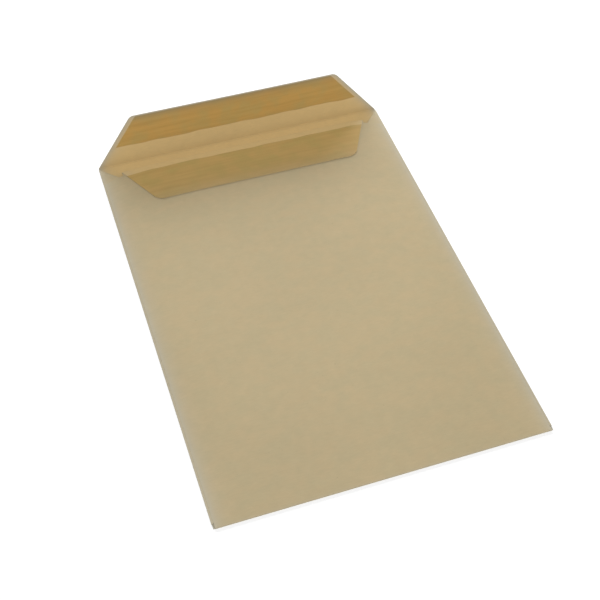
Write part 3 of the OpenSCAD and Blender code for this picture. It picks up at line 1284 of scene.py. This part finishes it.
@dataclass
class Envelope:
    """The pocket envelope: its folded paper and the two gum films, each in its place."""

    blank: FoldedBlank
    outer: ManilaPaper = ManilaPaper(
        "buff_manila_machine_finished", "#c1ae88", "#bdad88", "#c0b7a0", "#c1ae88"
    )
    # The felt side's stain colour is lighter than the paper: the gum's tint plus a painted glow for light
    # through the backlit flap
    inner: ManilaPaper = ManilaPaper("buff_manila_felt_side", "#bda97f", "#b9a77f", "#bbb5a2", "#dbbc82")
    cut: ManilaPaper = ManilaPaper("buff_manila_die_cut_edge", "#a3977c", "#9f957b", "#8f8266", "#a3977c")
    # One latex on both flaps, painted in two copies: the closing flap's more orange and the second flap's
    # paler, painted light for how each flap is lit
    flap_gum: DriedLatexGum = DriedLatexGum(
        "latex_gum_closing_flap", "#caa058", "#b6904e", "#c0a15e", "#9e8c68"
    )
    second_gum: DriedLatexGum = DriedLatexGum(
        "latex_gum_second_flap", "#cba867", "#ba985a", "#c2a664", "#a8926a"
    )

    def build(self) -> list[Object]:
        """Build and place every piece.

        Returns:
            The pieces.
        """
        s = self.blank.sizes
        paper = self.blank.build([self.outer.material(), self.inner.material(), self.cut.material()])
        place(paper, "manila_paper", "envelope_paper")
        closing = GumFilm(
            "closing_flap_gum_film",
            self.blank,
            Flap.CLOSING,
            s.flap_gum_start - self.blank.setback,
            self.blank.flap_len - s.flap_gum_edge,
            s.flap_gum_side * math.hypot(1, s.flap_inset / self.blank.flap_len),
        ).build(self.flap_gum.material())
        place(closing, "closing_flap_gum", "closing_flap_gum")
        second = GumFilm(
            "second_flap_gum_film",
            self.blank,
            Flap.SECOND,
            s.second_gum_start,
            s.second_d - s.second_gum_edge,
            s.second_gum_edge,
            free_rim_mm=8.0,
            free_rim_share=0.6,
        ).build(self.second_gum.material())
        place(second, "second_flap_gum", "second_flap_gum")
        return [paper, closing, second]


def place(piece: Object, slot: str, node: str) -> None:
    """Let a piece ride on the part and stand for its node.

    Args:
        piece: the piece.
        slot: not used.
        node: the node that it stands for.
    """
    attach(piece, BODY)
    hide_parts(node)
    log.info("%s: %d faces", piece.name, len(piece.data.polygons))


@dataclass(frozen=True)
class SoftBox:
    """One soft lamp that faces the envelope: its direction in degrees and its size in metres."""

    name: str
    azimuth: float
    elevation: float
    distance: float
    width: float
    height: float
    watts: float

    def build(self) -> None:
        """Hang the lamp in its direction, turned towards the origin."""
        light = bpy.data.lights.new(self.name, "AREA")
        light.shape = "ELLIPSE"
        light.size, light.size_y = self.width, self.height
        light.energy = self.watts
        lamp = bpy.data.objects.new(self.name, light)
        bpy.context.scene.collection.objects.link(lamp)
        a, e = math.radians(self.azimuth), math.radians(self.elevation)
        towards = Vector((math.sin(a) * math.cos(e), math.cos(a) * math.cos(e), math.sin(e)))
        lamp.location = towards * self.distance
        lamp.rotation_euler = towards.to_track_quat("Z", "Y").to_euler()


@dataclass(frozen=True)
class Studio:
    """White floor, a pale sky, a broad lamp beside the camera and a low one behind the mouth.

    The closing flap keeps the low lamp's light off the mouth, which gives the soft shadow there.
    """

    floor_m: float = 3.2
    floor_gap_mm: float = 0.05
    sky: float = 0.24
    seen_sky: float = 1.0
    front: SoftBox = SoftBox("broad_front", -173.0, 58.0, 3.0, 1.4, 1.4, 48.8)
    back: SoftBox = SoftBox("low_back_right", 9.5, 17.2, 1.4, 1.5, 0.42, 20.6)

    def build(self) -> None:
        """Build the floor, the sky and the lamps."""
        bpy.ops.mesh.primitive_plane_add(size=self.floor_m, location=(0, 0, -self.floor_gap_mm * MM))
        floor = bpy.context.object
        floor.name = "floor"
        floor.data.materials.append(StudioPaper().material())
        world = bpy.data.worlds.new("pale_sky")
        bpy.context.scene.world = world
        world.use_nodes = True
        tree = world.node_tree
        tree.nodes.clear()
        path = add_node(tree, "ShaderNodeLightPath")
        strength = add_node(
            tree,
            "ShaderNodeMapRange",
            values={"To Min": self.sky, "To Max": self.seen_sky},
            links={"Value": path.outputs["Is Camera Ray"]},
        )
        background = add_node(
            tree,
            "ShaderNodeBackground",
            values={"Color": (1, 1, 1, 1)},
            links={"Strength": strength.outputs["Result"]},
        )
        add_node(tree, "ShaderNodeOutputWorld", links={"Surface": background.outputs["Background"]})
        self.front.build()
        self.back.build()


@dataclass(frozen=True)
class Viewpoint:
    """Where the photograph was taken from, worked out from the outline's six corners."""

    place_mm: tuple[float, float, float] = (-175.915, -477.85, 619.27)
    aim_mm: tuple[float, float, float] = (-7.505, -9.03, 0.0)
    roll: float = 1.476
    lens_mm: float = 67.7
    sensor_mm: float = 36.0
    clip_m: tuple[float, float] = (0.01, 20.0)

    def build(self) -> None:
        """Make the scene's camera."""
        data = bpy.data.cameras.new("photo_view")
        data.lens = self.lens_mm
        data.sensor_width = self.sensor_mm
        data.clip_start, data.clip_end = self.clip_m
        camera = bpy.data.objects.new("photo_view", data)
        bpy.context.scene.collection.objects.link(camera)
        place_m = Vector(self.place_mm) * MM
        back = (place_m - Vector(self.aim_mm) * MM).normalized()
        turn = back.to_track_quat("Z", "Y").to_matrix() @ Matrix.Rotation(math.radians(self.roll), 3, "Z")
        camera.matrix_world = Matrix.Translation(place_m) @ turn.to_4x4()
        bpy.context.scene.camera = camera


def corners(bounds: tuple[Vector, Vector]) -> list[list[float]]:
    """Return a box's two corners as plain lists."""
    return [list(corner) for corner in bounds]


def main() -> None:
    """Build the camera, the envelope and the studio."""
    logging.basicConfig(level=logging.INFO, format="%(name)s: %(message)s")
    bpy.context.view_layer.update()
    low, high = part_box("envelope_paper")
    width, length = (high.x - low.x) / MM, -2 * low.y / MM
    Viewpoint().build()
    blank = FoldedBlank(BlankSizes(round(width, 2), round(length, 2)))
    pieces = Envelope(blank).build()
    Studio().build()
    bpy.context.scene.view_settings.view_transform = "Standard"
    bpy.context.view_layer.update()
    log.info("%d pieces", len(pieces))


if __name__ == "__main__":
    main()
